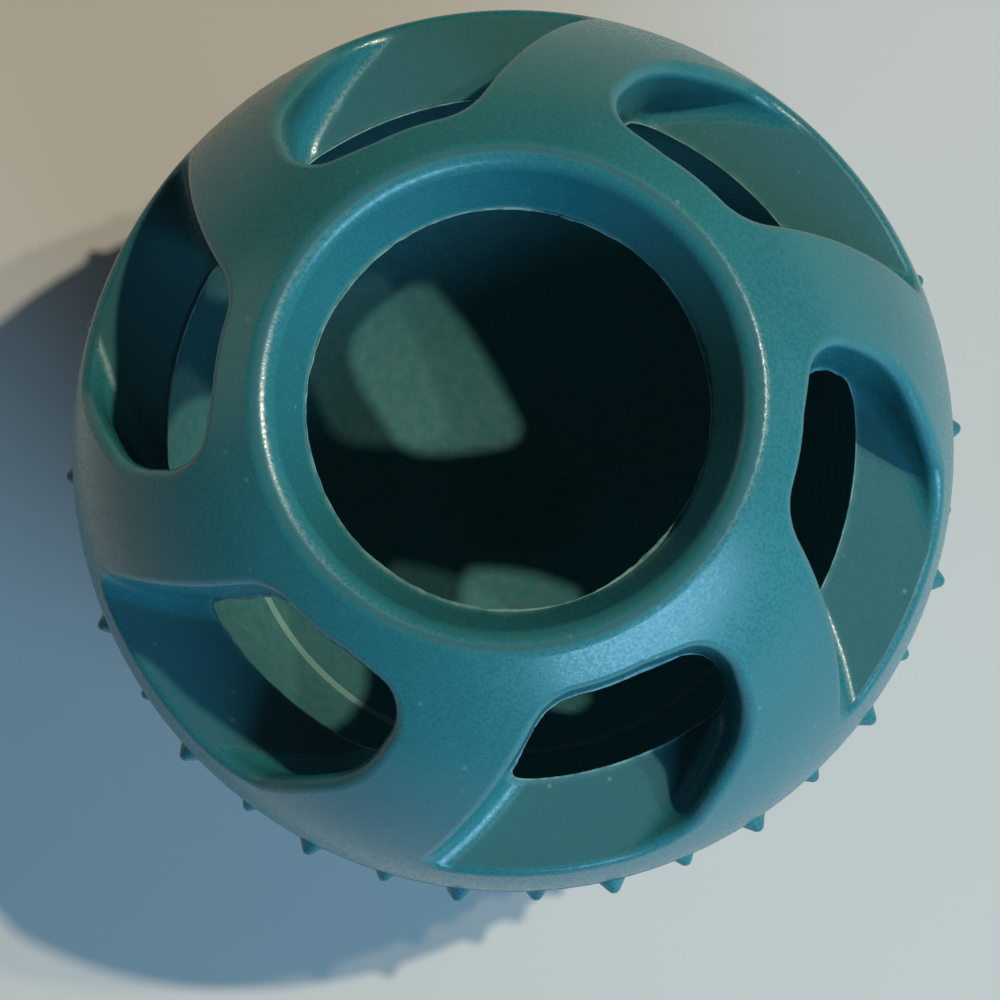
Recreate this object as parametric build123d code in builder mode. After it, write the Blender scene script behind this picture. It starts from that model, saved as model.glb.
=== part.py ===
"""Treat dispensing ball: two rubber mouldings that push together with a lap joint.

Units are millimetres. +Z points up through the mouth, and the origin is in the middle of the
flat disc that the ball stands on. +Y points away from the viewer and +X to the viewer's right.
"""

import math
import os

from build123d import *

# Ball
BALL_RADIUS = 45.0
CENTRE_HEIGHT = 43.4
DOME_CAVITY_RADIUS = 36.5
BOWL_CAVITY_RADIUS = 35.9

# Mouth: a funnel that narrows to a sharp inner edge
THROAT_RADIUS = 18.7
MOUTH_DRAFT = 18.5
RIM_FILLET = 1.8

# Lap joint: levels are heights above the ball's centre
SEAM_LEVEL = 4.0
SEAM_GAP = 0.3
SEAM_CHAMFER = 0.4
LEDGE_LEVEL = -19.5
CUP_RADIUS = 40.8
SKIRT_CLEARANCE = 0.3

# Swirl pockets: X in plan is the distance from the axis along the pocket's middle line, and Y is
# the distance from that line, towards the blunt head of the pocket
SLOT_COUNT = 6
SLOT_TURN = -68.0
SECTOR_START = -37.0
FLOOR_LEVEL = 13.5
POCKET_HEIGHT = 35.0
LAND_RADIUS = 26.6
LAND_END_ANGLE = 5.0
SHOULDER_ANGLE = -14.5
SHOULDER_ROUND = 6.0
TAIL_MIDDLE = (31.6, -14.3)
TAIL_END = (36.6, -31.0)
HEAD_CORNER = (26.6, 9.8)
HEAD_ROUND = 3.5
NOSE_LENGTH = 4.6
FLANK_MIDDLE = (36.1, 7.7)
FLANK_END = (42.0, -0.8)
FLANK_REACH = 30.0
FLOOR_FILLET = 2.4
EDGE_FILLET = 1.0

# Nubs: staggered rows of blunt pegs, the first row on the ball's widest circle
NUB_ROWS = 11
NUBS_PER_ROW = 18
NUB_ROW_PITCH = 5.5
NUB_TURN = 3.0
NUB_HEIGHT = 1.35
NUB_ROOT = 0.4
NUB_TIP_RADIUS = 0.7
NUB_LEAN = 38.0


def circle_point(radius, level):
    """Profile point at a level on a circle round the ball's centre."""
    return (math.sqrt(radius**2 - level**2), CENTRE_HEIGHT + level)


def circle_arc(radius, start_level, end_level):
    """Profile arc round the ball's centre from one level to another."""
    start_angle = math.asin(start_level / radius)
    end_angle = math.asin(end_level / radius)
    middle_level = radius * math.sin((start_angle + end_angle) / 2)
    levels = (start_level, middle_level, end_level)
    return ThreePointArc(*[circle_point(radius, level) for level in levels])


def polar(radius, angle):
    """Plan point at a radius from the axis and an angle in degrees."""
    return Vector(radius, 0).rotate(Axis.Z, angle)


def tip_point(angle):
    """Profile point on a nub's round tip, at an angle in degrees from its top."""
    return polar(NUB_TIP_RADIUS, 90 - angle) + Vector(0, NUB_HEIGHT - NUB_TIP_RADIUS)


# Places that follow from the driving dimensions
throat_level = math.sqrt(DOME_CAVITY_RADIUS**2 - THROAT_RADIUS**2)
funnel_slope = math.tan(math.radians(MOUTH_DRAFT))
funnel_root = THROAT_RADIUS - funnel_slope * throat_level
slope_factor = 1 + funnel_slope**2
rim_reach = math.sqrt(slope_factor * BALL_RADIUS**2 - funnel_root**2)
rim_level = (rim_reach - funnel_root * funnel_slope) / slope_factor
skirt_radius = CUP_RADIUS - SKIRT_CLEARANCE
bowl_rim_level = SEAM_LEVEL - SEAM_GAP
base_radius = math.sqrt(BALL_RADIUS**2 - CENTRE_HEIGHT**2)
ball_centre = Vector(0, 0, CENTRE_HEIGHT)

os.makedirs("parts", exist_ok=True)

# Cutter for one swirl pocket: upright walls, with a round foot all along the flat floor
with BuildPart() as pocket:
    with BuildSketch(Plane.XY.offset(CENTRE_HEIGHT + FLOOR_LEVEL)) as pocket_plan:
        with BuildLine():
            shoulder = polar(LAND_RADIUS, SHOULDER_ANGLE)
            ThreePointArc(TAIL_END, TAIL_MIDDLE, shoulder)
            land = ThreePointArc(shoulder, polar(LAND_RADIUS, 0), polar(LAND_RADIUS, LAND_END_ANGLE))
            Line(land @ 1, HEAD_CORNER)
            nose = Line(HEAD_CORNER, Vector(HEAD_CORNER) + Vector(NOSE_LENGTH, 0))
            nose_bend = TangentArc(nose @ 1, FLANK_MIDDLE, tangent=nose % 1)
            flank = TangentArc(FLANK_MIDDLE, FLANK_END, tangent=nose_bend % 1)
            flank_line = Line(FLANK_END, flank @ 1 + flank % 1 * FLANK_REACH)
            Line(flank_line @ 1, TAIL_END)
        make_face()
        fillet(pocket_plan.vertices().sort_by_distance(shoulder)[0], SHOULDER_ROUND)
        fillet(pocket_plan.vertices().sort_by_distance(HEAD_CORNER)[0], HEAD_ROUND)
    extrude(amount=POCKET_HEIGHT)
    floor_edges = pocket.faces().sort_by(Axis.Z)[0].edges()
    fillet(floor_edges.sort_by(Axis.Y)[1:], FLOOR_FILLET)

# One sixth of the upper moulding: smooth dome, funnel neck, one pocket and the skirt below it
with BuildPart() as dome_sector:
    with BuildSketch(Plane.XZ.rotated((0, 0, SECTOR_START))):
        with BuildLine():
            circle_arc(BALL_RADIUS, SEAM_LEVEL, rim_level)
            Line(circle_point(BALL_RADIUS, rim_level), circle_point(DOME_CAVITY_RADIUS, throat_level))
            circle_arc(DOME_CAVITY_RADIUS, throat_level, LEDGE_LEVEL)
            Line(circle_point(DOME_CAVITY_RADIUS, LEDGE_LEVEL), circle_point(skirt_radius, LEDGE_LEVEL))
            circle_arc(skirt_radius, LEDGE_LEVEL, 0)
            Line(circle_point(skirt_radius, 0), (skirt_radius, CENTRE_HEIGHT + SEAM_LEVEL))
            Line((skirt_radius, CENTRE_HEIGHT + SEAM_LEVEL), circle_point(BALL_RADIUS, SEAM_LEVEL))
        make_face()
    revolve(axis=Axis.Z, revolution_arc=360 / SLOT_COUNT)
    fillet(dome_sector.edges().filter_by(GeomType.CIRCLE).sort_by(Axis.Z)[-1], RIM_FILLET)
    seam_edges = dome_sector.faces().filter_by(Axis.Z).sort_by(Axis.Z)[-1].edges()
    chamfer(seam_edges.filter_by(GeomType.CIRCLE).sort_by(SortBy.LENGTH)[-1], SEAM_CHAMFER)
    add(pocket.part, mode=Mode.SUBTRACT)
    ball_faces = dome_sector.faces().filter_by(GeomType.SPHERE)
    outside = ball_faces.sort_by(lambda face: face.radius)[-1]
    fillet(outside.inner_wires()[0].edges(), EDGE_FILLET)

# Upper moulding: the sectors make one piece
with BuildPart() as slotted_dome:
    with PolarLocations(0, SLOT_COUNT, start_angle=SLOT_TURN):
        add(dome_sector.part)

# One nub: a blunt cone that stands on the ball's surface, with its root in the wall
with BuildPart() as nub:
    with BuildSketch(Plane.XZ):
        with BuildLine():
            tip_angle = 90 - NUB_LEAN
            neck = tip_point(tip_angle)
            root_radius = neck.X + (neck.Y + NUB_ROOT) * math.tan(math.radians(NUB_LEAN))
            Polyline((0, NUB_HEIGHT), (0, -NUB_ROOT), (root_radius, -NUB_ROOT), neck)
            ThreePointArc(neck, tip_point(tip_angle / 2), (0, NUB_HEIGHT))
        make_face()
    revolve(axis=Axis.Z)

nub_places = []
for row in range(NUB_ROWS):
    for place in range(NUBS_PER_ROW):
        turn = NUB_TURN + (place + row % 2 / 2) * 360 / NUBS_PER_ROW
        outward = polar(1, row * NUB_ROW_PITCH).rotate(Axis.X, -90).rotate(Axis.Z, turn)
        nub_places.append(Plane(ball_centre + outward * BALL_RADIUS, z_dir=outward))

# Lower moulding: thick cup with the nubs outside, and the ledge that the skirt sits on
with BuildPart() as nubbed_bowl:
    with BuildSketch(Plane.XZ):
        with BuildLine():
            circle_arc(BALL_RADIUS, bowl_rim_level, -CENTRE_HEIGHT)
            Line((base_radius, 0), (0, 0))
            Line((0, 0), (0, CENTRE_HEIGHT - BOWL_CAVITY_RADIUS))
            circle_arc(BOWL_CAVITY_RADIUS, -BOWL_CAVITY_RADIUS, LEDGE_LEVEL)
            Line(circle_point(BOWL_CAVITY_RADIUS, LEDGE_LEVEL), circle_point(CUP_RADIUS, LEDGE_LEVEL))
            circle_arc(CUP_RADIUS, LEDGE_LEVEL, 0)
            Line(circle_point(CUP_RADIUS, 0), (CUP_RADIUS, CENTRE_HEIGHT + bowl_rim_level))
            Line((CUP_RADIUS, CENTRE_HEIGHT + bowl_rim_level), circle_point(BALL_RADIUS, bowl_rim_level))
        make_face()
    revolve(axis=Axis.Z)
    chamfer(nubbed_bowl.faces().sort_by(Axis.Z)[-1].outer_wire().edges(), SEAM_CHAMFER)
    with Locations(*nub_places):
        add(nub.part)

for piece, name in ((slotted_dome, "slotted_dome"), (nubbed_bowl, "nubbed_bowl")):
    piece.part.label = name
    export_step(piece.part, f"parts/{name}.step")
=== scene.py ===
"""Looks of the treat dispensing ball: rubber finish, moulding flash, stage, light and camera.

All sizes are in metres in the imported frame: +Z up through the mouth, the origin in the middle of
the flat disc that the ball stands on.
"""

import logging
import math
from dataclasses import dataclass
from enum import Enum

import bpy
from mathutils import Matrix, Vector, noise


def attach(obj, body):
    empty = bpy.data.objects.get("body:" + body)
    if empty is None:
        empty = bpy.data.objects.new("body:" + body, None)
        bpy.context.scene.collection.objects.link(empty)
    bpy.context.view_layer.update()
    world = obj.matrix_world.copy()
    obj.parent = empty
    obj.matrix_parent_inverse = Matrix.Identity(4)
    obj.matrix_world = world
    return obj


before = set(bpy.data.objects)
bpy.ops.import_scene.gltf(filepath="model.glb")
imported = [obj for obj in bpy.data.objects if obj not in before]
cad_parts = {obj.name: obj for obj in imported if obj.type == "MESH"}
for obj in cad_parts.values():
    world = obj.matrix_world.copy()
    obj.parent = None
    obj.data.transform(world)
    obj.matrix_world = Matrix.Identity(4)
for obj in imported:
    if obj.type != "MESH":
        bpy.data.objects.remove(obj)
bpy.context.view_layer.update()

LOG = logging.getLogger("treat_ball")
MM = 0.001
CENTRE = Vector((0.0, 0.0, 43.4 * MM))
HOLLOW_RADIUS = 36.5 * MM

Colour = tuple[float, float, float, float]
Span = tuple[float, float]


class Moulding(Enum):
    """Nodes of the two rubber mouldings."""

    DOME = "slotted_dome"
    BOWL = "nubbed_bowl"


class Body(Enum):
    """Rigid bodies that new pieces ride on."""

    DOME = "dome"


class Slot(Enum):
    """Material slots of the record."""

    RUBBER = "teal_rubber"


class NodeSheet:
    """Small helper that adds and links shader nodes in one material or world."""

    def __init__(self, tree: bpy.types.NodeTree) -> None:
        """Clear the tree and keep it.

        Args:
            tree: node tree of a material or of the world.
        """
        self.tree = tree
        self.tree.nodes.clear()

    def feed(self, socket: bpy.types.NodeSocket, value: object) -> None:
        """Link an output into a socket, or set the socket to a plain value.

        Args:
            socket: input socket.
            value: output socket, number or colour.
        """
        if isinstance(value, bpy.types.NodeSocket):
            self.tree.links.new(value, socket)
        else:
            socket.default_value = value

    def add(
        self, kind: str, inputs: dict[str | int, object] | None = None, **settings: object
    ) -> bpy.types.Node:
        """Add a node, set its properties and its sockets.

        Args:
            kind: Blender's type name of the node.
            inputs: socket name or index to a value, or to an output socket to link from.
            settings: properties of the node itself.

        Returns:
            The new node.
        """
        node = self.tree.nodes.new(kind)
        for name, value in settings.items():
            setattr(node, name, value)
        for name, value in (inputs or {}).items():
            self.feed(node.inputs[name], value)
        return node

    def math(self, operation: str, *values: object) -> bpy.types.NodeSocket:
        """Add a math node.

        Args:
            operation: name of the operation.
            values: numbers or sockets, in order.

        Returns:
            The node's output socket.
        """
        node = self.add("ShaderNodeMath", dict(enumerate(values)), operation=operation)
        return node.outputs[0]

    def ramp(self, value: bpy.types.NodeSocket, span: Span) -> bpy.types.NodeSocket:
        """Map a value smoothly from 0 to 1.

        Args:
            value: socket that is mapped.
            span: value that gives 0, and value that gives 1.

        Returns:
            The mapped socket.
        """
        inputs = {"Value": value, "From Min": span[0], "From Max": span[1]}
        node = self.add("ShaderNodeMapRange", inputs, interpolation_type="SMOOTHSTEP")
        return node.outputs["Result"]

    def blend(self, factor: object, first: object, second: object) -> bpy.types.NodeSocket:
        """Mix two colours.

        Args:
            factor: number or socket, 0 for the first colour.
            first: colour or socket.
            second: colour or socket.

        Returns:
            The mixed colour's socket.
        """
        node = self.add("ShaderNodeMix", data_type="RGBA")
        factor_socket, first_socket, second_socket = (node.inputs[index] for index in (0, 6, 7))
        self.feed(factor_socket, factor)
        self.feed(first_socket, first)
        self.feed(second_socket, second)
        return node.outputs[2]

    def place(self) -> bpy.types.NodeSocket:
        """Give the piece's own coordinates."""
        return self.add("ShaderNodeTexCoord").outputs["Object"]

    def noise(
        self, place: bpy.types.NodeSocket, scale: float, detail: float
    ) -> bpy.types.NodeSocket:
        """Add a noise texture.

        Args:
            place: coordinates.
            scale: features per metre.
            detail: octaves.

        Returns:
            The noise value's socket.
        """
        inputs = {"Vector": place, "Scale": scale, "Detail": detail}
        return self.add("ShaderNodeTexNoise", inputs).outputs["Fac"]

    def specks(
        self, place: bpy.types.NodeSocket, scale: float, share: float, reach: float
    ) -> bpy.types.NodeSocket:
        """Scatter small round specks with soft edges.

        Args:
            place: coordinates.
            scale: cells per metre, with one speck at most in each.
            share: part of the cells that hold a speck.
            reach: radius of a speck as a part of its cell.

        Returns:
            Socket that is 1 in a speck and 0 elsewhere.
        """
        full = 0.4
        cells = self.add("ShaderNodeTexVoronoi", {"Vector": place, "Scale": scale})
        chance = self.add("ShaderNodeSeparateColor", {0: cells.outputs["Color"]}).outputs[0]
        dot = self.ramp(cells.outputs["Distance"], (reach, reach * full))
        chosen = self.ramp(chance, (1.0 - share, 1.0 - share * full))
        return self.math("MULTIPLY", dot, chosen)

    def surface(self, inputs: dict[str | int, object]) -> None:
        """Finish a material with one principled shader.

        Args:
            inputs: the shader's sockets and their values.
        """
        shader = self.add("ShaderNodeBsdfPrincipled", inputs)
        self.add("ShaderNodeOutputMaterial", {"Surface": shader.outputs[0]})


def new_sheet(name: str) -> tuple[bpy.types.Material, NodeSheet]:
    """Make an empty material and the sheet for its nodes.

    Args:
        name: name of the material.

    Returns:
        The material and its sheet.
    """
    material = bpy.data.materials.new(name)
    material.use_nodes = True
    return material, NodeSheet(material.node_tree)


@dataclass(frozen=True)
class RubberFinish:
    """Satin moulded rubber: fine grain, faint mottling, painted shade and more roughness on level
    floors, a dusty hollow, and a painted highlight on the ledge.
    """

    name: str = "moulded_rubber"

    # Skin: broad patches and fine speckle between two shades
    deep: Colour = (0.017, 0.138, 0.160, 1.0)
    pale: Colour = (0.025, 0.176, 0.198, 1.0)
    patch_scale: float = 42.0
    patch_detail: float = 6.0
    patch_span: Span = (0.32, 0.68)
    patch_share: float = 0.6
    speckle_scale: float = 3000.0
    speckle_detail: float = 4.0
    speckle_span: Span = (0.36, 0.64)

    # Level floors: painted shade darkens their colour, and they are rougher, by how far the
    # surface faces up
    painted_floor_shade: Colour = (0.015, 0.094, 0.102, 1.0)
    level_span: Span = (0.96, 0.998)
    floor_shade_share: float = 0.60

    # Hollow: cloudy dust on its wall, and a painted highlight, a pale line along the open edge of
    # the ledge
    dust: Colour = (0.16, 0.27, 0.25, 1.0)
    dust_span: Span = (HOLLOW_RADIUS + 0.6 * MM, HOLLOW_RADIUS + 0.1 * MM)
    dust_share: float = 0.30
    cloud_scale: float = 800.0
    cloud_detail: float = 5.0
    cloud_span: Span = (0.15, 0.85)
    # Painted highlight along the ledge: its colour, strength, radius and width
    painted_ledge_highlight: Colour = (0.24, 0.44, 0.41, 1.0)
    ledge_highlight_share: float = 0.80
    ledge_radius: float = HOLLOW_RADIUS - 0.30 * MM
    ledge_reach: float = 0.27 * MM

    # Pale specks all over
    speck_scale: float = 520.0
    speck_chance: float = 0.20
    speck_reach: float = 0.17
    speck_share: float = 0.55

    # Gloss and grain
    roughness: float = 0.30
    roughness_spread: float = 0.16
    matt_roughness: float = 0.50
    grain_scale: float = 4200.0
    grain_detail: float = 3.0
    grain_strength: float = 0.16
    grain_height: float = 0.10 * MM
    ior: float = 1.5

    def make(self) -> bpy.types.Material:
        """Build the material.

        Returns:
            The finished material.
        """
        material, sheet = new_sheet(self.name)
        place = sheet.place()
        patch_noise = sheet.noise(place, self.patch_scale, self.patch_detail)
        patches = sheet.ramp(patch_noise, self.patch_span)
        speckle_noise = sheet.noise(place, self.speckle_scale, self.speckle_detail)
        speckle = sheet.ramp(speckle_noise, self.speckle_span)
        fine = sheet.math("MULTIPLY", speckle, 1.0 - self.patch_share)
        mottle = sheet.math("MULTIPLY_ADD", patches, self.patch_share, fine)
        colour = sheet.blend(mottle, self.deep, self.pale)

        normal = sheet.add("ShaderNodeNewGeometry").outputs["Normal"]
        facing = sheet.add("ShaderNodeSeparateXYZ", {0: normal})
        level = sheet.ramp(facing.outputs["Z"], self.level_span)
        # Painted shade: surfaces that face up are darkened towards a deeper teal
        colour = sheet.blend(sheet.math("MULTIPLY", level, self.floor_shade_share), colour, self.painted_floor_shade)

        away = sheet.add("ShaderNodeVectorMath", {0: place, 1: CENTRE}, operation="DISTANCE")
        radius = away.outputs["Value"]
        inside = sheet.ramp(radius, self.dust_span)
        cloud_noise = sheet.noise(place, self.cloud_scale, self.cloud_detail)
        cloud = sheet.math("MULTIPLY", inside, sheet.ramp(cloud_noise, self.cloud_span))
        colour = sheet.blend(sheet.math("MULTIPLY", cloud, self.dust_share), colour, self.dust)
        # Painted highlight: a pale line where an up-facing surface lies at the ledge's edge radius
        edge = sheet.math("COMPARE", radius, self.ledge_radius, self.ledge_reach)
        ledge = sheet.math("MULTIPLY", level, edge)
        colour = sheet.blend(sheet.math("MULTIPLY", ledge, self.ledge_highlight_share), colour, self.painted_ledge_highlight)
        specks = sheet.specks(place, self.speck_scale, self.speck_chance, self.speck_reach)
        colour = sheet.blend(sheet.math("MULTIPLY", specks, self.speck_share), colour, self.dust)

        smooth = self.roughness - self.roughness_spread / 2
        rough = sheet.math("MULTIPLY_ADD", speckle, self.roughness_spread, smooth)
        dull = sheet.math("MAXIMUM", level, inside)
        rough = sheet.math("MULTIPLY_ADD", dull, self.matt_roughness, rough)
        grain = sheet.noise(place, self.grain_scale, self.grain_detail)
        relief = {
            "Height": grain,
            "Strength": self.grain_strength,
            "Distance": self.grain_height,
        }
        bump = sheet.add("ShaderNodeBump", relief).outputs[0]
        sheet.surface({"Base Color": colour, "Roughness": rough, "Normal": bump, "IOR": self.ior})
        return material


@dataclass(frozen=True)
class FlashFinish:
    """Thin rubber skin left by the mould, paler than the thick wall."""

    name: str = "flash_skin"
    thick: Colour = (0.070, 0.240, 0.250, 1.0)
    thin: Colour = (0.220, 0.420, 0.410, 1.0)
    cloud_scale: float = 700.0
    cloud_detail: float = 3.0
    cloud_span: Span = (0.35, 0.65)
    roughness: float = 0.45

    def make(self) -> bpy.types.Material:
        """Build the material.

        Returns:
            The finished material.
        """
        material, sheet = new_sheet(self.name)
        cloud_noise = sheet.noise(sheet.place(), self.cloud_scale, self.cloud_detail)
        colour = sheet.blend(sheet.ramp(cloud_noise, self.cloud_span), self.thick, self.thin)
        sheet.surface({"Base Color": colour, "Roughness": self.roughness})
        return material


@dataclass(frozen=True)
class FloorFinish:
    """Plain pale floor with a very slight cloudiness."""

    name: str = "pale_floor"
    light: Colour = (0.60, 0.59, 0.57, 1.0)
    shade: Colour = (0.55, 0.54, 0.52, 1.0)
    cloud_scale: float = 6.0
    cloud_detail: float = 4.0
    roughness: float = 0.8

    def make(self) -> bpy.types.Material:
        """Build the material.

        Returns:
            The finished material.
        """
        material, sheet = new_sheet(self.name)
        cloud = sheet.noise(sheet.place(), self.cloud_scale, self.cloud_detail)
        colour = sheet.blend(cloud, self.shade, self.light)
        sheet.surface({"Base Color": colour, "Roughness": self.roughness})
        return material


def dress(piece: bpy.types.Object, material: bpy.types.Material) -> None:
    """Give a piece one material in all its slots.

    Args:
        piece: mesh object.
        material: its finish.
    """
    if not piece.data.materials:
        piece.data.materials.append(material)
    for index in range(len(piece.data.materials)):
        piece.data.materials[index] = material


def pick(piece: bpy.types.Object) -> None:
    """Select one object alone and make it active.

    Args:
        piece: the object.
    """
    bpy.ops.object.select_all(action="DESELECT")
    piece.select_set(True)
    bpy.context.view_layer.objects.active = piece


def ordered_loops(mesh: bpy.types.Mesh) -> list[list[int]]:
    """Follow a mesh of closed wires round each of its loops.

    Args:
        mesh: mesh whose edges make closed loops only.

    Returns:
        The vertex numbers of each loop, in order.
    """
    beside: dict[int, list[int]] = {vertex.index: [] for vertex in mesh.vertices}
    for edge in mesh.edges:
        first, second = edge.vertices
        beside[first].append(second)
        beside[second].append(first)
    loops = []
    waiting = set(beside)
    while waiting:
        loop = [min(waiting)]
        waiting.discard(loop[0])
        while True:
            onward = [index for index in beside[loop[-1]] if index in waiting]
            if not onward:
                break
            loop.append(onward[0])
            waiting.discard(onward[0])
        loops.append(loop)
    return loops


@dataclass
class SlottedDome:
    """Upper moulding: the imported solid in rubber, and the flash round its throat and slots."""

    rubber: bpy.types.Material
    flash: bpy.types.Material

    # Tracing of the holes' edges on the hollow's surface
    lowest_hole: float = CENTRE.z + 8.0 * MM
    surface_tolerance: float = 0.02 * MM
    merge_distance: float = 0.002 * MM
    least_facing: float = 0.97
    edge_cuts: int = 5

    # Flash: a ragged width from broad and fine noise, in features per metre
    flash_narrow: float = 0.05 * MM
    flash_wide: float = 0.42 * MM
    flash_thickness: float = 0.10 * MM
    broad_scale: float = 130.0
    fine_scale: float = 900.0
    mean_share: float = 0.42
    broad_share: float = 0.75
    fine_share: float = 0.30
    smooth_angle: float = math.radians(40.0)

    def build(self) -> None:
        """Dress the solid and add the flash."""
        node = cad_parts[Moulding.DOME.value]
        dress(node, self.rubber)
        LOG.info("dressed %s", node.name)
        skin = self.build_flash(node)
        LOG.info("built %s with %d faces", skin.name, len(skin.data.polygons))

    def on_hollow(self, place: Vector) -> bool:
        """Tell whether a point lies on the round hollow's surface, above the skirt."""
        off = abs((place - CENTRE).length - HOLLOW_RADIUS)
        return place.z > self.lowest_hole and off < self.surface_tolerance

    def select_hole_edges(self, mesh: bpy.types.Mesh) -> None:
        """Select the edges that have the hollow's surface on one side alone.

        Args:
            mesh: merged copy of the solid's mesh.
        """
        sides: dict[tuple[int, int], int] = {}
        for face in mesh.polygons:
            outward = (face.center - CENTRE).normalized()
            inside = abs(face.normal.dot(outward)) > self.least_facing
            near = all(self.on_hollow(mesh.vertices[index].co) for index in face.vertices)
            for key in face.edge_keys:
                sides[key] = sides.get(key, 0) + (inside and near)
        for edge in mesh.edges:
            ends = [mesh.vertices[index].co for index in edge.vertices]
            edge.select = all(self.on_hollow(end) for end in ends) and sides.get(edge.key) == 1

    def trace_holes(self, node: bpy.types.Object) -> bpy.types.Object:
        """Copy the solid and keep only the edges where holes break through into the hollow.

        Args:
            node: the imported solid.

        Returns:
            An object of closed wires.
        """
        pick(node)
        bpy.ops.object.duplicate()
        trace = bpy.context.object
        trace.name = "mould_flash"
        bpy.ops.mesh.customdata_custom_splitnormals_clear()
        bpy.ops.object.mode_set(mode="EDIT")
        bpy.ops.mesh.select_mode(type="EDGE")
        bpy.ops.mesh.select_all(action="SELECT")
        bpy.ops.mesh.remove_doubles(threshold=self.merge_distance)
        bpy.ops.mesh.select_all(action="DESELECT")
        bpy.ops.object.mode_set(mode="OBJECT")
        self.select_hole_edges(trace.data)
        bpy.ops.object.mode_set(mode="EDIT")
        bpy.ops.mesh.select_all(action="INVERT")
        bpy.ops.mesh.delete(type="EDGE")
        bpy.ops.mesh.delete_loose(use_verts=True, use_edges=False, use_faces=False)
        bpy.ops.mesh.select_all(action="SELECT")
        bpy.ops.mesh.subdivide(number_cuts=self.edge_cuts)
        bpy.ops.object.mode_set(mode="OBJECT")
        return trace

    def flash_width(self, place: Vector) -> float:
        """Give the ragged width of the flash at a point.

        Args:
            place: point on a hole's edge.

        Returns:
            The width.
        """
        broad = noise.noise(place * self.broad_scale)
        fine = noise.noise(place * self.fine_scale)
        share = self.mean_share + self.broad_share * broad + self.fine_share * fine
        share = min(max(share, 0.0), 1.0)
        return self.flash_narrow + (self.flash_wide - self.flash_narrow) * share

    def flash_reach(self, mesh: bpy.types.Mesh) -> dict[int, Vector]:
        """Work out how far the flash stands into its hole at each point of the edges.

        Args:
            mesh: closed wires round the holes.

        Returns:
            The step into the hole for each vertex number.
        """
        reach: dict[int, Vector] = {}
        for loop in ordered_loops(mesh):
            places = [mesh.vertices[index].co.copy() for index in loop]
            middle = sum(places, Vector()) / len(places)
            area = Vector()
            for first, second in zip(places, places[1:] + places[:1]):
                area += (first - middle).cross(second - middle)
            turn = 1.0 if area.dot(middle - CENTRE) > 0.0 else -1.0
            for step, index in enumerate(loop):
                along = places[(step + 1) % len(places)] - places[step - 1]
                inward = (places[step] - CENTRE).cross(along).normalized() * turn
                reach[index] = inward * self.flash_width(places[step])
        return reach

    def build_flash(self, node: bpy.types.Object) -> bpy.types.Object:
        """Make the thin ragged skin that stands out from the edges of the holes.

        Args:
            node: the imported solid.

        Returns:
            The finished piece.
        """
        skin = self.trace_holes(node)
        mesh = skin.data
        reach = self.flash_reach(mesh)
        LOG.info("flash follows %d points", len(reach))
        pick(skin)
        bpy.ops.object.mode_set(mode="EDIT")
        bpy.ops.mesh.select_all(action="SELECT")
        bpy.ops.mesh.extrude_region_move()
        bpy.ops.object.mode_set(mode="OBJECT")
        fresh = {vertex.index for vertex in mesh.vertices if vertex.select}
        for edge in mesh.edges:
            first, second = edge.vertices
            if (first in fresh) != (second in fresh):
                new, old = (first, second) if first in fresh else (second, first)
                mesh.vertices[new].co += reach[old]
        thicken = skin.modifiers.new("thickness", "SOLIDIFY")
        thicken.thickness = self.flash_thickness
        thicken.offset = 0.0
        bpy.ops.object.modifier_apply(modifier=thicken.name)
        bpy.ops.object.mode_set(mode="EDIT")
        bpy.ops.mesh.select_all(action="SELECT")
        bpy.ops.mesh.normals_make_consistent(inside=False)
        bpy.ops.object.mode_set(mode="OBJECT")
        bpy.ops.object.shade_smooth_by_angle(angle=self.smooth_angle)
        dress(skin, self.flash)
        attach(skin, Body.DOME.value)
        return skin


@dataclass
class NubbedBowl:
    """Lower moulding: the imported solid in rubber."""

    rubber: bpy.types.Material

    def build(self) -> None:
        """Dress the solid."""
        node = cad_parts[Moulding.BOWL.value]
        dress(node, self.rubber)
        LOG.info("dressed %s", node.name)


@dataclass(frozen=True)
class Camera:
    """Camera that sees the ball as the photograph does, given from the ball's centre."""

    lens: float = 93.9
    sensor_width: float = 36.0
    clip_start: float = 0.01
    distance: float = 0.27
    tilt: float = math.radians(7.47)
    lean: float = math.radians(5.4)
    aim_right: float = -1.304 * MM
    aim_up: float = -4.947 * MM

    def build(self) -> None:
        """Make the camera and set it as the scene's own."""
        side = math.sin(self.tilt)
        sight = Vector(
            (side * math.sin(self.lean), -side * math.cos(self.lean), math.cos(self.tilt))
        )
        right = Vector((0.0, 1.0, 0.0)).cross(sight).normalized()
        up = sight.cross(right)
        place = CENTRE + sight * self.distance
        aim = CENTRE + right * self.aim_right + up * self.aim_up
        back = (place - aim).normalized()
        across = up.cross(back).normalized()
        above = back.cross(across)
        bpy.ops.object.camera_add(location=place)
        camera = bpy.context.object
        camera.name = "photo_camera"
        camera.data.lens = self.lens
        camera.data.sensor_width = self.sensor_width
        camera.data.clip_start = self.clip_start
        camera.rotation_euler = Matrix((across, above, back)).transposed().to_euler()
        bpy.context.scene.camera = camera
        LOG.info("set %s", camera.name)


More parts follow.
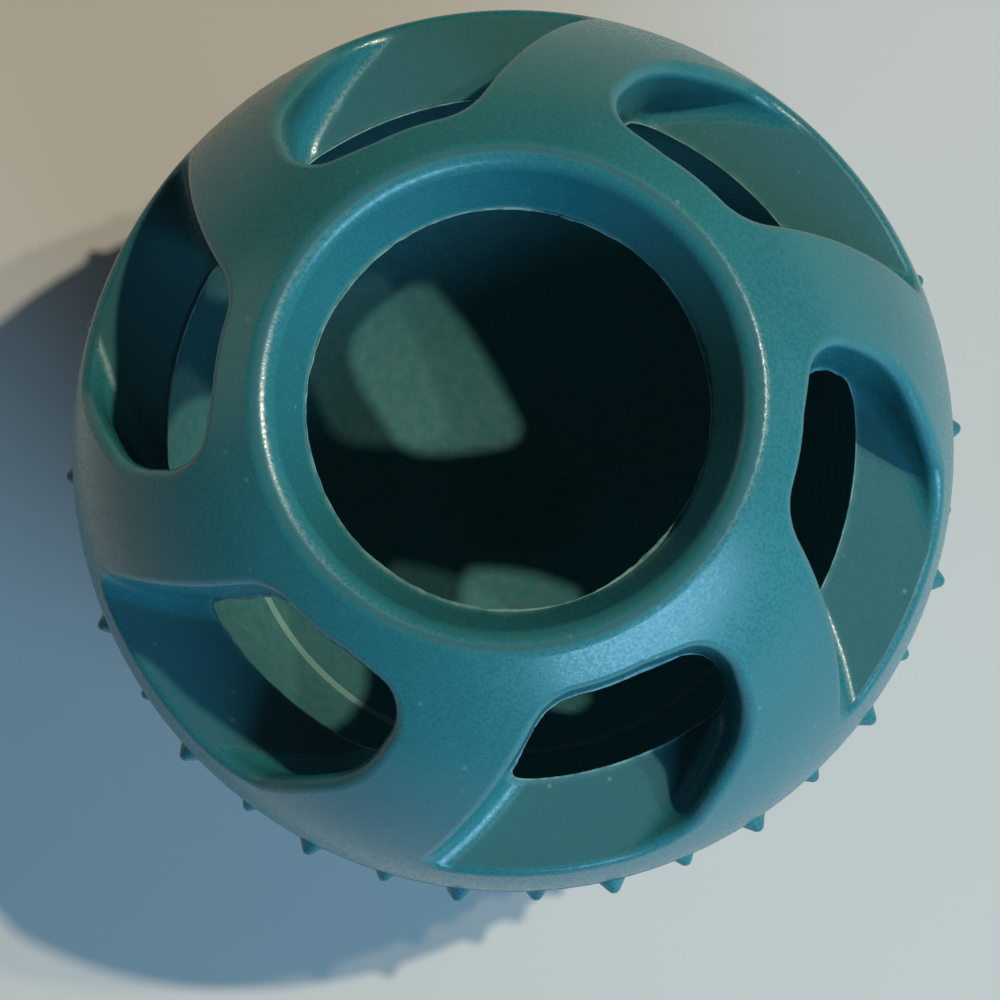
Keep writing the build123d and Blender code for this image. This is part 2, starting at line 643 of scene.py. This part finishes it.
@dataclass(frozen=True)
class Lamp:
    """One softbox, given by where it stands seen from the ball, with its angles in degrees."""

    name: str
    azimuth: float
    elevation: float
    distance: float
    width: float
    height: float
    level: float
    colour: tuple[float, float, float]

    def build(self) -> None:
        """Make the lamp, aimed at the ball, with power for its level at that distance."""
        turn = math.radians(self.azimuth)
        rise = math.radians(self.elevation)
        flat = math.cos(rise)
        away = Vector((flat * math.cos(turn), flat * math.sin(turn), math.sin(rise)))
        bpy.ops.object.light_add(type="AREA", location=CENTRE + away * self.distance)
        lamp = bpy.context.object
        lamp.name = self.name
        lamp.rotation_euler = away.to_track_quat("Z", "Y").to_euler()
        lamp.data.shape = "ELLIPSE"
        lamp.data.size = self.width
        lamp.data.size_y = self.height
        lamp.data.color = self.colour
        lamp.data.energy = self.level * math.pi**2 * self.distance**2
        LOG.info("lit %s", lamp.name)


@dataclass(frozen=True)
class Studio:
    """Floor, lamps and surrounding light."""

    floor_size: float = 6.0
    world_colour: Colour = (0.80, 0.90, 1.0, 1.0)
    world_level: float = 0.045
    lamps: tuple[Lamp, ...] = (
        Lamp("key_lamp", 21.0, 57.6, 1.4, 0.04, 0.04, 0.60, (1.0, 0.89, 0.68)),
        Lamp("second_lamp", 16.5, 51.0, 1.4, 0.04, 0.04, 0.19, (1.0, 0.89, 0.68)),
        Lamp("cool_lamp", -54.0, 30.0, 0.9, 0.80, 0.34, 1.00, (0.34, 0.68, 1.0)),
        Lamp("fill_lamp", 160.0, 14.0, 1.2, 0.80, 0.50, 0.05, (1.0, 0.97, 0.92)),
    )

    def build(self) -> None:
        """Make the floor, the lamps and the world, and set the view to standard."""
        self.build_floor()
        for lamp in self.lamps:
            lamp.build()
        self.build_world()
        bpy.context.scene.view_settings.view_transform = "Standard"

    def build_floor(self) -> None:
        """Lay the floor that the ball stands on."""
        bpy.ops.mesh.primitive_plane_add(size=self.floor_size, location=(0.0, 0.0, 0.0))
        floor = bpy.context.object
        floor.name = "floor"
        dress(floor, FloorFinish().make())

    def build_world(self) -> None:
        """Make the weak even light from all round."""
        world = bpy.data.worlds.new("soft_surround")
        bpy.context.scene.world = world
        world.use_nodes = True
        sheet = NodeSheet(world.node_tree)
        light = {"Color": self.world_colour, "Strength": self.world_level}
        glow = sheet.add("ShaderNodeBackground", light)
        sheet.add("ShaderNodeOutputWorld", {"Surface": glow.outputs[0]})


def main() -> None:
    """Build the looks in order and report each piece."""
    logging.basicConfig(level=logging.INFO, format="%(name)s %(message)s")
    rubber = RubberFinish().make()
    SlottedDome(rubber, FlashFinish().make()).build()
    NubbedBowl(rubber).build()
    Studio().build()
    Camera().build()


if __name__ == "__main__":
    main()
